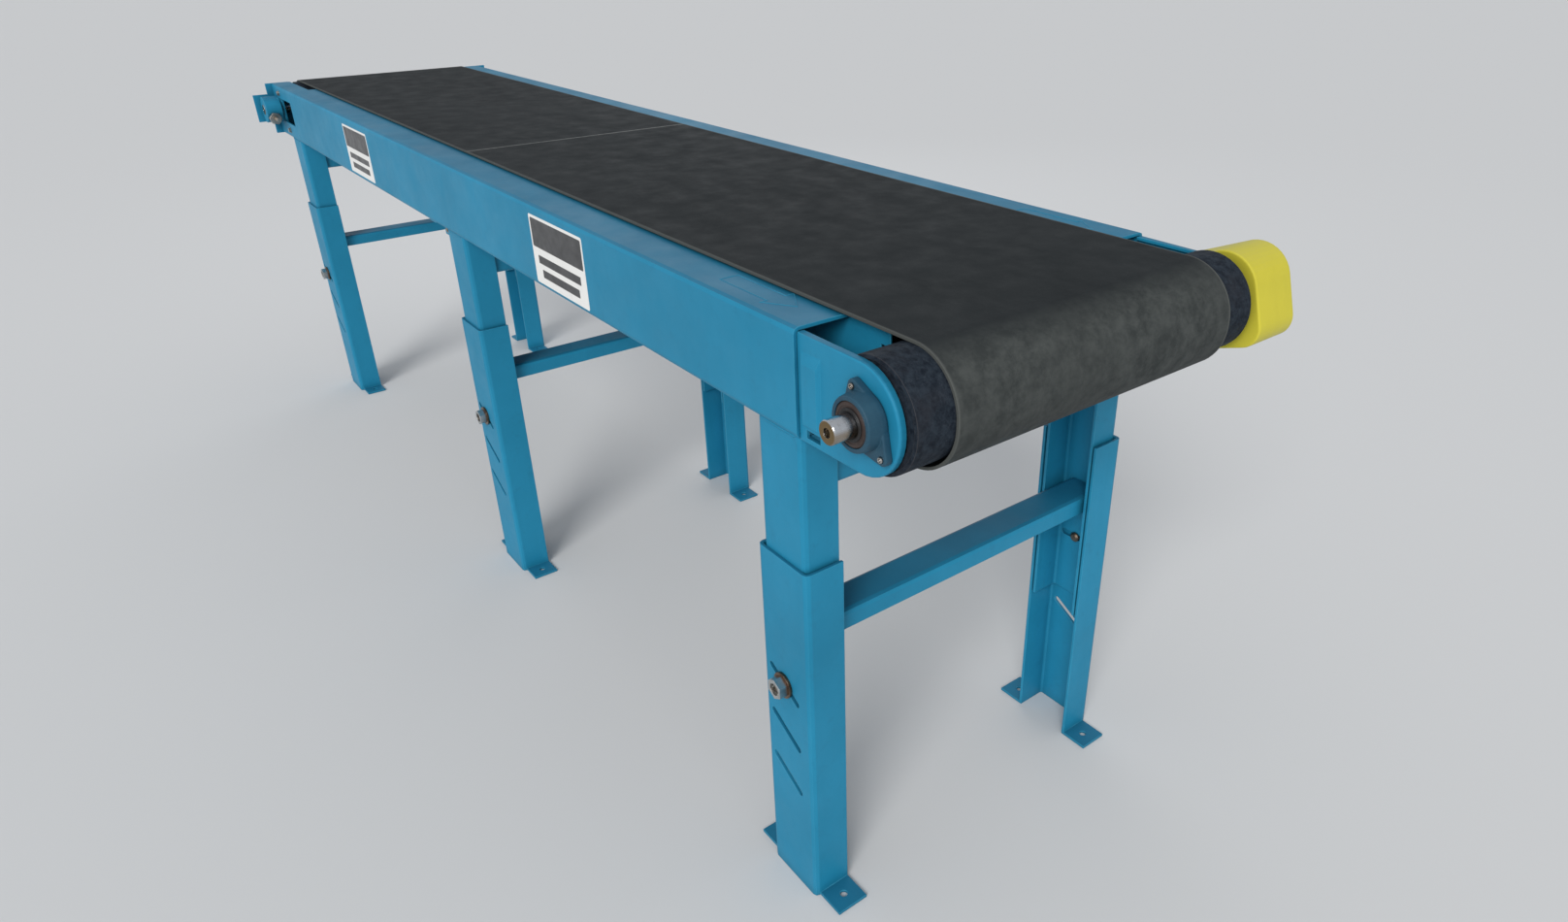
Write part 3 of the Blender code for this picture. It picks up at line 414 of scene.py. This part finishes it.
def finish_of(node_name):
    for start, made in (("head_bearing_housing", HOUSING), ("head_bearing_insert", SEAL),
                        ("shaft_guard", YELLOW), ("head_pulley", LAGGING), ("tail_pulley", LAGGING),
                        ("head_shaft", SHAFT), ("tail_shaft", SHAFT), ("return_roller_shaft", SHAFT),
                        ("return_roller_bracket", BLUE), ("return_roller", ZINC),
                        ("take_up_screw", THREADED), ("height_nut", NUT), ("height_bolt", BOLT)):
        if node_name.startswith(start):
            return made
    return BELT if node_name == "belt" else BLUE


for node_name, node in NODES.items():
    node.data.materials.clear()
    node.data.materials.append(finish_of(node_name))


# ---------------------------------------------------------------- shape helpers
def piece(name, bm, finish, body, smooth=True, bevel=0.0, sharp=35.0):
    """Its vertices are given from the datum.
    """
    bmesh.ops.translate(bm, vec=DATUM, verts=bm.verts)
    bmesh.ops.recalc_face_normals(bm, faces=bm.faces)
    mesh = bpy.data.meshes.new(name)
    bm.to_mesh(mesh)
    bm.free()
    mesh.materials.append(finish)
    if smooth:
        mesh.shade_smooth()
        mesh.set_sharp_from_angle(angle=math.radians(sharp))
    made = bpy.data.objects.new(name, mesh)
    bpy.context.scene.collection.objects.link(made)
    if bevel > 0.0:
        edge = made.modifiers.new("edge", "BEVEL")
        edge.width = bevel
        edge.segments = 2
        edge.limit_method = "ANGLE"
        edge.angle_limit = math.radians(40.0)
    if body is not None:
        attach(made, body)
    return made


def turn_to(axis):
    """Rotation that takes +Z to the given direction."""
    return Vector((0.0, 0.0, 1.0)).rotation_difference(Vector(axis)).to_matrix().to_4x4()


def lathe(bm, profile, centre, axis, segments=32):
    """Turns (radius, height) pairs about an axis through centre and adds them to bm."""
    rings = []
    made = []
    for radius, height in profile:
        if radius < 1e-6:
            rings.append([bm.verts.new((0.0, 0.0, height))])
        else:
            rings.append([bm.verts.new((radius * math.cos(2.0 * math.pi * k / segments),
                                        radius * math.sin(2.0 * math.pi * k / segments), height))
                          for k in range(segments)])
        made.extend(rings[-1])
    for low, high in zip(rings, rings[1:]):
        for k in range(segments):
            around = [low[k % len(low)], low[(k + 1) % len(low)],
                      high[(k + 1) % len(high)], high[k % len(high)]]
            unique = list(dict.fromkeys(around))
            if len(unique) > 2:
                bm.faces.new(unique)
    bmesh.ops.transform(bm, matrix=Matrix.Translation(Vector(centre)) @ turn_to(axis), verts=made)


CHAMFER_REACH = 1.02        # radius of the chamfered rim, in halves of the flats
CHAMFER_DROP = 0.55         # height of the chamfer, in what it takes off the corner
BORE_FLARE = 1.12           # radius of the bore's mouth, in bore radii
FLARE_DEPTH = 0.0008


def hexagon(bm, flats, height, bore, centre, axis, turn, per_side=5):
    """A chamfered hexagon nut, or a bolt head when bore is 0, standing on centre along axis."""
    count = 6 * per_side
    corner = flats / math.sqrt(3.0)
    chamfer = flats / 2.0 * CHAMFER_REACH

    def reach(angle):
        local = (angle % (math.pi / 3.0)) - math.pi / 6.0
        return flats / 2.0 / math.cos(local)

    drop = (corner - chamfer) * CHAMFER_DROP
    levels = [(0.0, chamfer), (drop, None), (height - drop, None), (height, chamfer)]
    rings = []
    made = []
    for level, cap in levels:
        ring = []
        for k in range(count):
            angle = 2.0 * math.pi * k / count
            radius = reach(angle) if cap is None else min(reach(angle), cap)
            ring.append(bm.verts.new((radius * math.cos(angle + turn), radius * math.sin(angle + turn),
                                      level)))
        rings.append(ring)
        made.extend(ring)
    if bore > 0.0:
        for level, radius in ((height, bore * BORE_FLARE), (height - FLARE_DEPTH, bore), (0.0, bore)):
            ring = [bm.verts.new((radius * math.cos(2.0 * math.pi * k / count + turn),
                                  radius * math.sin(2.0 * math.pi * k / count + turn), level))
                    for k in range(count)]
            rings.append(ring)
            made.extend(ring)
        rings.append(rings[0])
    for low, high in zip(rings, rings[1:]):
        for k in range(count):
            bm.faces.new((low[k], low[(k + 1) % count], high[(k + 1) % count], high[k]))
    if bore <= 0.0:
        bm.faces.new(list(reversed(rings[0])))
        bm.faces.new(rings[-1])
    bmesh.ops.transform(bm, matrix=Matrix.Translation(Vector(centre)) @ turn_to(axis), verts=made)


def slab(bm, outline, low, high, to_3d):
    """A closed prism over a flat outline; to_3d places (u, v, height)."""
    bottom = [bm.verts.new(to_3d(u, v, low)) for u, v in outline]
    top = [bm.verts.new(to_3d(u, v, high)) for u, v in outline]
    count = len(outline)
    bm.faces.new(list(reversed(bottom)))
    bm.faces.new(top)
    for k in range(count):
        bm.faces.new((bottom[k], bottom[(k + 1) % count], top[(k + 1) % count], top[k]))


def round_rect(u0, v0, u1, v1, radius, steps=5):
    points = []
    for cu, cv, start in ((u1 - radius, v1 - radius, 0.0), (u0 + radius, v1 - radius, 90.0),
                          (u0 + radius, v0 + radius, 180.0), (u1 - radius, v0 + radius, 270.0)):
        for k in range(steps + 1):
            angle = math.radians(start + 90.0 * k / steps)
            points.append((cu + radius * math.cos(angle), cv + radius * math.sin(angle)))
    return points


def inset(outline, distance):
    """The outline moved inwards; it runs counter-clockwise."""
    moved = []
    count = len(outline)
    for k in range(count):
        before = Vector(outline[k - 1])
        here = Vector(outline[k])
        after = Vector(outline[(k + 1) % count])
        first = (here - before).normalized()
        second = (after - here).normalized()
        normal_a = Vector((-first.y, first.x))
        normal_b = Vector((-second.y, second.x))
        middle = (normal_a + normal_b).normalized()
        moved.append(tuple(here + middle * (distance / max(middle.dot(normal_a), 0.3))))
    return moved


# ---------------------------------------------------------------- stickers
FILM_GAP = 0.00005
FILM_TOP = 0.00035
PRINT_TOP = 0.00047
STICKER_MARGIN = 0.0055
HEADER_SHARE = 0.46
BARS = ((0.10, 0.90, 0.37), (0.15, 0.85, 0.17))     # left, right and middle height, as shares
BAR_SHARE = 0.12


def sticker(label, x0, x1, z0, z1):
    """Wordless sticker on the near web: white film, a dark header band and plain dark bars."""

    def on_web(u, v, height):
        return (u, -(HALF_WIDTH + height), v)

    def film(name, outline, low, high, finish):
        bm = bmesh.new()
        slab(bm, outline, low, high, on_web)
        piece(name, bm, finish, "frame", smooth=False)

    wide = x1 - x0
    tall = z1 - z0
    film(f"sticker_{label}_ground", round_rect(x0, z0, x1, z1, 0.004), FILM_GAP, FILM_TOP, WHITE_FILM)
    header = round_rect(x0 + STICKER_MARGIN, z1 - tall * HEADER_SHARE, x1 - STICKER_MARGIN,
                        z1 - STICKER_MARGIN, 0.003)
    film(f"sticker_{label}_header", header, FILM_TOP, PRINT_TOP, BLACK_FILM)
    half = tall * BAR_SHARE / 2.0
    for number, (left, right, middle) in enumerate(BARS):
        v = z0 + tall * middle
        bar = round_rect(x0 + wide * left, v - half, x0 + wide * right, v + half, 0.0012)
        film(f"sticker_{label}_bar_{number}", bar, FILM_TOP, PRINT_TOP, BLACK_FILM)


sticker("large", x0=-0.817, x1=-0.599, z0=0.857, z1=0.983)
sticker("small", x0=-2.056, x1=-1.8405, z0=0.859, z1=0.981)


# ---------------------------------------------------------------- pressed direction arrows
ARROW = [(-0.222, 0.2745), (-0.106, 0.2745), (-0.106, 0.2600), (-0.058, 0.2890),
         (-0.106, 0.3180), (-0.106, 0.3065), (-0.222, 0.3065)]
ARROW_RIDGE = ((0.0, -0.0002), (0.0005, 0.0007), (0.0017, 0.0007), (0.0022, -0.0002))   # inset, height


def direction_arrow(side_name, side):
    """Raised outline of an arrow that points along the belt's travel, on the top flange."""
    bm = bmesh.new()
    rings = []
    for distance, height in ARROW_RIDGE:
        ring = inset(ARROW, distance) if distance > 0.0 else ARROW
        rings.append([bm.verts.new((u, side * v, TOP_Z + height)) for u, v in ring])
    rings.append(rings[0])
    count = len(ARROW)
    for low, high in zip(rings, rings[1:]):
        for k in range(count):
            bm.faces.new((low[k], low[(k + 1) % count], high[(k + 1) % count], high[k]))
    piece(f"direction_arrow_{side_name}", bm, BLUE, "frame", smooth=False, bevel=0.00025)


for side_name, side in SIDES.items():
    direction_arrow(side_name, side)


# ---------------------------------------------------------------- belt
FOLLOW_FROM = -2.50
FOLLOW_TO = -2.80
FOLLOW_CUTS = 16


def belt_band():
    """The belt's own loop, with extra cuts across it where it runs round the take-up at the tail."""
    solid = NODES["belt"].data
    bm = bmesh.new()
    copied = [bm.verts.new(vertex.co - DATUM) for vertex in solid.vertices]
    for face in solid.polygons:
        bm.faces.new([copied[k] for k in face.vertices])
    bmesh.ops.remove_doubles(bm, verts=bm.verts, dist=2e-6)
    for k in range(FOLLOW_CUTS):
        x = FOLLOW_FROM + (FOLLOW_TO - FOLLOW_FROM) * k / (FOLLOW_CUTS - 1)
        bmesh.ops.bisect_plane(bm, geom=bm.verts[:] + bm.edges[:] + bm.faces[:], dist=1e-6,
                               plane_co=(x, 0.0, 0.0), plane_no=(1.0, 0.0, 0.0))
    band = piece("belt_band", bm, BELT, None)
    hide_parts("belt")
    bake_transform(band)


belt_band()


SPLICE_X = -1.317           # where the line meets the near side, and SPLICE_NEAR_Y its place across
SPLICE_NEAR_Y = -0.226
SPLICE_SLOPE = 0.0218
SPLICE_HALF = 0.0034
SPLICE_MARGIN = 0.0008
SPLICE_STEPS = 60
SPLICE_WANDER = 0.0004
SPLICE_SWELL = 0.18         # how much its width varies, as a share
SPLICE_PROFILE = ((-1.0, -0.0002), (-0.6, 0.00025), (0.6, 0.00025), (1.0, -0.0002))   # half widths, height


def belt_splice():
    """Thin skew line of filler where the belt's ends are joined."""
    bm = bmesh.new()
    rows = []
    for k in range(SPLICE_STEPS + 1):
        y = -BELT_HALF + SPLICE_MARGIN + 2.0 * (BELT_HALF - SPLICE_MARGIN) * k / SPLICE_STEPS
        x = SPLICE_X + SPLICE_SLOPE * (y - SPLICE_NEAR_Y) + SPLICE_WANDER * math.sin(k * 1.7)
        wide = SPLICE_HALF * (1.0 + SPLICE_SWELL * math.sin(k * 2.9))
        rows.append([bm.verts.new((x + wide * share, y, BELT_TOP + height))
                     for share, height in SPLICE_PROFILE])
    count = len(SPLICE_PROFILE)
    for low, high in zip(rows, rows[1:]):
        for k in range(count):
            bm.faces.new((low[k], low[(k + 1) % count], high[(k + 1) % count], high[k]))
    bm.faces.new(rows[0])
    bm.faces.new(list(reversed(rows[-1])))
    piece("belt_splice_line", bm, SPLICE, "frame")


belt_splice()


# ---------------------------------------------------------------- head bearings
HOUSING_BOLTS = ((-0.0174, 0.0379), (0.0352, -0.0364), (-0.0370, -0.0270))     # from the shaft
HOUSING_FACE = HALF_WIDTH - 0.0050          # the end plate's outer face, where the housing stands
HOUSING_SEAT = HOUSING_FACE + 0.0094        # floor of the spot faces
HOUSING_FRONT = HOUSING_FACE + 0.0270
RACE_FACE = HOUSING_FRONT - 0.0008
SEAL_FACE = HOUSING_FRONT - 0.0010

# Turned profiles, as radius and height.
SOCKET_HEAD = [(0.0, 0.0), (0.0038, 0.0), (0.0040, 0.0003), (0.0040, 0.0022), (0.0036, 0.0030),
               (0.0024, 0.0033), (0.0021, 0.0031), (0.0020, 0.0014), (0.0, 0.0012)]
RACE_RING = [(0.0234, -0.0002), (0.0262, -0.0002), (0.0262, 0.0003), (0.0256, 0.0007),
             (0.0240, 0.0007), (0.0234, 0.0003), (0.0234, -0.0002)]
SEAL_LIP = [(0.0157, 0.0), (0.0210, 0.0), (0.0210, 0.0014), (0.0202, 0.0024), (0.0186, 0.0026),
            (0.0166, 0.0020), (0.0157, 0.0012), (0.0157, 0.0)]
GUARD_SCREW = [(0.0, -0.0002), (0.0062, -0.0002), (0.0062, 0.0006), (0.0056, 0.0020),
               (0.0040, 0.0029), (0.0022, 0.0032), (0.0020, 0.0018), (0.0, 0.0016)]
SPACER = [(0.0062, 0.0), (0.0096, 0.0), (0.0098, 0.0003), (0.0098, 0.0040), (0.0062, 0.0040),
          (0.0062, 0.0)]
WASHER_TOP = 0.0014
WASHER = [(0.0, -0.0001), (0.0086, -0.0001), (0.0088, 0.0004), (0.0086, WASHER_TOP),
          (0.0, WASHER_TOP)]


def head_bearing_fittings(side_name, side):
    """Socket-head bolts, the line of the insert's outer race and the shaft's seal."""
    out = (0.0, side, 0.0)
    for number, (across, up) in enumerate(HOUSING_BOLTS):
        bm = bmesh.new()
        lathe(bm, SOCKET_HEAD, (HEAD_X + across, side * HOUSING_SEAT, AXIS_Z + up), out, 24)
        piece(f"housing_bolt_{side_name}_{number}", bm, PLATED, "frame")
    bm = bmesh.new()
    lathe(bm, RACE_RING, (HEAD_X, side * RACE_FACE, AXIS_Z), out, 56)
    piece(f"bearing_race_{side_name}", bm, SEAL, "frame")
    bm = bmesh.new()
    lathe(bm, SEAL_LIP, (HEAD_X, side * SEAL_FACE, AXIS_Z), out, 56)
    piece(f"shaft_seal_{side_name}", bm, BLACK_SEAL, "head_pulley")


for side_name, side in SIDES.items():
    head_bearing_fittings(side_name, side)


# ---------------------------------------------------------------- shaft guard screws
GUARD_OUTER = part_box("shaft_guard")[1][1] - DATUM.y
GUARD_SCREW_PLACES = ((0.092, 0.962), (0.186, 0.966), (0.110, 0.868))
for number, (x, z) in enumerate(GUARD_SCREW_PLACES):
    builder = bmesh.new()
    lathe(builder, GUARD_SCREW, (x, GUARD_OUTER, z), (0.0, 1.0, 0.0), 28)
    piece(f"guard_screw_{number}", builder, PLATED, "frame")


# ---------------------------------------------------------------- tail end fittings
ALONG = (1.0, 0.0, 0.0)
LOCK_NUT_X = TAIL_X + 0.0400
SPACER_X = TAIL_X + 0.0358
TAIL_BOLT_PLACES = ((-2.795, 0.9785), (-2.752, 0.872))


def tail_fittings(side_name, side):
    """The lock nut and spacer on the take-up screw, and the side frame's small bolts."""
    out = (0.0, side, 0.0)
    bm = bmesh.new()
    hexagon(bm, flats=0.032, height=0.0140, bore=0.0062, centre=(LOCK_NUT_X, side * SCREW_Y, SCREW_Z),
            axis=ALONG, turn=0.35)
    piece(f"take_up_lock_nut_{side_name}", bm, PLATED, "tail_carriage")
    bm = bmesh.new()
    lathe(bm, SPACER, (SPACER_X, side * SCREW_Y, SCREW_Z), ALONG, 28)
    piece(f"take_up_spacer_{side_name}", bm, PLATED, "tail_carriage")
    for number, (x, z) in enumerate(TAIL_BOLT_PLACES):
        bm = bmesh.new()
        lathe(bm, WASHER, (x, side * HALF_WIDTH, z), out, 28)
        hexagon(bm, flats=0.0125, height=0.0050, bore=0.0, centre=(x, side * (HALF_WIDTH + WASHER_TOP), z),
                axis=out, turn=0.2)
        piece(f"tail_frame_bolt_{side_name}_{number}", bm, PLATED, "frame")


for side_name, side in SIDES.items():
    tail_fittings(side_name, side)


# ---------------------------------------------------------------- return roller nuts
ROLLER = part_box("return_roller_shaft")
ROLLER_X = (ROLLER[0][0] + ROLLER[1][0]) / 2.0 - DATUM.x
ROLLER_Z = (ROLLER[0][2] + ROLLER[1][2]) / 2.0
ROLLER_NUT_Y = 0.2983
for side_name, side in SIDES.items():
    builder = bmesh.new()
    hexagon(builder, flats=0.018, height=0.0062, bore=0.0061,
            centre=(ROLLER_X, side * ROLLER_NUT_Y, ROLLER_Z), axis=(0.0, side, 0.0), turn=0.5)
    piece(f"roller_nut_{side_name}", builder, PLATED, "frame")


# ---------------------------------------------------------------- weld beads
RIPPLE_STEP = 0.0016
RIPPLE = 0.16               # how far the radius swells, as a share, with a slower wave on top
SLOW_WAVE = 0.06
END_SHARE = 0.35            # how thin a bead is at its ends
TAPER_RATE = 14.0
WELD_SIDES = 8
LEG_WELD_R = 0.0024
BRACE_WELD_R = 0.0022
LEG_WELD_INSET = 0.010
BRACE_WELD_INSET = 0.002
BRACE_WELD_DEPTH = 0.0052       # how far inside the upper leg's outer face the brace meets it


def bead(name, start, end, radius):
    """A rippled fillet weld between two points, half sunk into the corner it fills."""
    start = Vector(start)
    end = Vector(end)
    along = end - start
    count = max(int(along.length / RIPPLE_STEP), 8)
    across = turn_to(along.normalized()).to_3x3()
    bm = bmesh.new()
    rings = []
    for k in range(count + 1):
        share = k / count
        swell = 1.0 + RIPPLE * math.sin(k * 1.9) + SLOW_WAVE * math.sin(k * 0.7 + 1.0)
        taper = min(1.0, END_SHARE + TAPER_RATE * min(share, 1.0 - share))
        centre = start + along * share
        rings.append([bm.verts.new(centre + across @ Vector((
            radius * swell * taper * math.cos(2.0 * math.pi * j / WELD_SIDES),
            radius * swell * taper * math.sin(2.0 * math.pi * j / WELD_SIDES), 0.0)))
            for j in range(WELD_SIDES)])
    for low, high in zip(rings, rings[1:]):
        for j in range(WELD_SIDES):
            bm.faces.new((low[j], low[(j + 1) % WELD_SIDES], high[(j + 1) % WELD_SIDES], high[j]))
    bm.faces.new(rings[0])
    bm.faces.new(rings[-1])
    piece(name, bm, BLUE, "frame", sharp=60.0)


for frame_name in FRAMES:
    for side_name, side in SIDES.items():
        low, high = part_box(f"upper_leg_{frame_name}_{side_name}")
        outer = max(abs(low[1] - DATUM.y), abs(high[1] - DATUM.y))
        top = high[2] - 0.0004
        bead(f"leg_weld_{frame_name}_{side_name}",
             (low[0] - DATUM.x + LEG_WELD_INSET, side * outer, top),
             (high[0] - DATUM.x - LEG_WELD_INSET, side * outer, top), LEG_WELD_R)
        brace_low, brace_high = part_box(f"leg_brace_{frame_name}")
        joint_y = side * (outer - BRACE_WELD_DEPTH)
        for label, x in (("tail", brace_low[0]), ("head", brace_high[0])):
            bead(f"brace_weld_{frame_name}_{side_name}_{label}",
                 (x - DATUM.x, joint_y, brace_low[2] + BRACE_WELD_INSET),
                 (x - DATUM.x, joint_y, brace_high[2] - BRACE_WELD_INSET), BRACE_WELD_R)


# ---------------------------------------------------------------- floor, light and camera
FLOOR_HALF = 100.0
FLOOR_Z = -0.0005           # just under the feet
AZIMUTH = math.radians(52.134)
ELEVATION = math.radians(27.469)
ROLL = math.radians(-0.593)
EYE = (0.9572, -1.0022, 1.4341)


def aimed(name, data, place, target):
    """Puts a lamp at a place, pointing at a target."""
    lamp = bpy.data.objects.new(name, data)
    bpy.context.scene.collection.objects.link(lamp)
    lamp.location = DATUM + Vector(place)
    aim = DATUM + Vector(target) - lamp.location
    lamp.rotation_euler = aim.to_track_quat("-Z", "Y").to_euler()


def area_light(name, place, target, size, power, colour):
    data = bpy.data.lights.new(name, "AREA")
    data.shape = "RECTANGLE"
    data.size = size[0]
    data.size_y = size[1]
    data.energy = power
    data.color = colour
    aimed(name, data, place, target)


def floor():
    bm = bmesh.new()
    bmesh.ops.create_grid(bm, x_segments=1, y_segments=1, size=FLOOR_HALF)
    mesh = bpy.data.meshes.new("floor")
    bm.to_mesh(mesh)
    bm.free()
    shade = Shader("floor_pale", (0.62, 0.63, 0.64), 0.75, Specular_IOR_Level=0.2)
    mesh.materials.append(shade.material)
    made = bpy.data.objects.new("floor", mesh)
    made.location = (0.0, 0.0, FLOOR_Z)
    bpy.context.scene.collection.objects.link(made)


def studio():
    """A pale sky all round, a wide soft key light and two weak soft boxes."""
    world = bpy.data.worlds.new("studio")
    bpy.context.scene.world = world
    world.use_nodes = True
    sky = world.node_tree.nodes["Background"]
    sky.inputs["Color"].default_value = (0.93, 0.95, 0.98, 1.0)
    sky.inputs["Strength"].default_value = 0.60
    key = bpy.data.lights.new("key", "SUN")
    key.energy = 2.1
    key.angle = math.radians(28.0)
    key.color = (1.0, 0.985, 0.96)
    aimed("key", key, place=(3.2, -4.4, 4.0), target=(0.0, 0.0, 0.5))
    area_light("soft_box_head", place=(3.2, -1.4, 2.3), target=(-0.2, -0.1, 0.8), size=(2.2, 2.2),
               power=12.0, colour=(1.0, 0.98, 0.95))
    area_light("soft_box_tail", place=(-4.4, 2.6, 3.0), target=(-1.4, 0.0, 0.8), size=(2.6, 2.2),
               power=12.0, colour=(0.95, 0.97, 1.0))
    view = bpy.context.scene.view_settings
    view.view_transform = "Standard"
    view.look = "None"


def camera():
    """The solved viewing position, from the datum."""
    back = Vector((math.sin(AZIMUTH) * math.cos(ELEVATION), -math.cos(AZIMUTH) * math.cos(ELEVATION),
                   math.sin(ELEVATION)))
    right = (-back).cross(Vector((0.0, 0.0, 1.0))).normalized()
    up = right.cross(-back)
    x_axis = math.cos(ROLL) * right + math.sin(ROLL) * up
    y_axis = -math.sin(ROLL) * right + math.cos(ROLL) * up
    data = bpy.data.cameras.new("camera")
    data.sensor_width = 36.0
    data.lens = 23.284
    data.shift_x = -0.0400
    data.shift_y = -0.0057
    data.clip_start = 0.02
    data.clip_end = 200.0
    made = bpy.data.objects.new("camera", data)
    bpy.context.scene.collection.objects.link(made)
    pose = Matrix((x_axis, y_axis, back)).transposed().to_4x4()
    pose.translation = DATUM + Vector(EYE)
    made.matrix_world = pose
    bpy.context.scene.camera = made


floor()
studio()
camera()
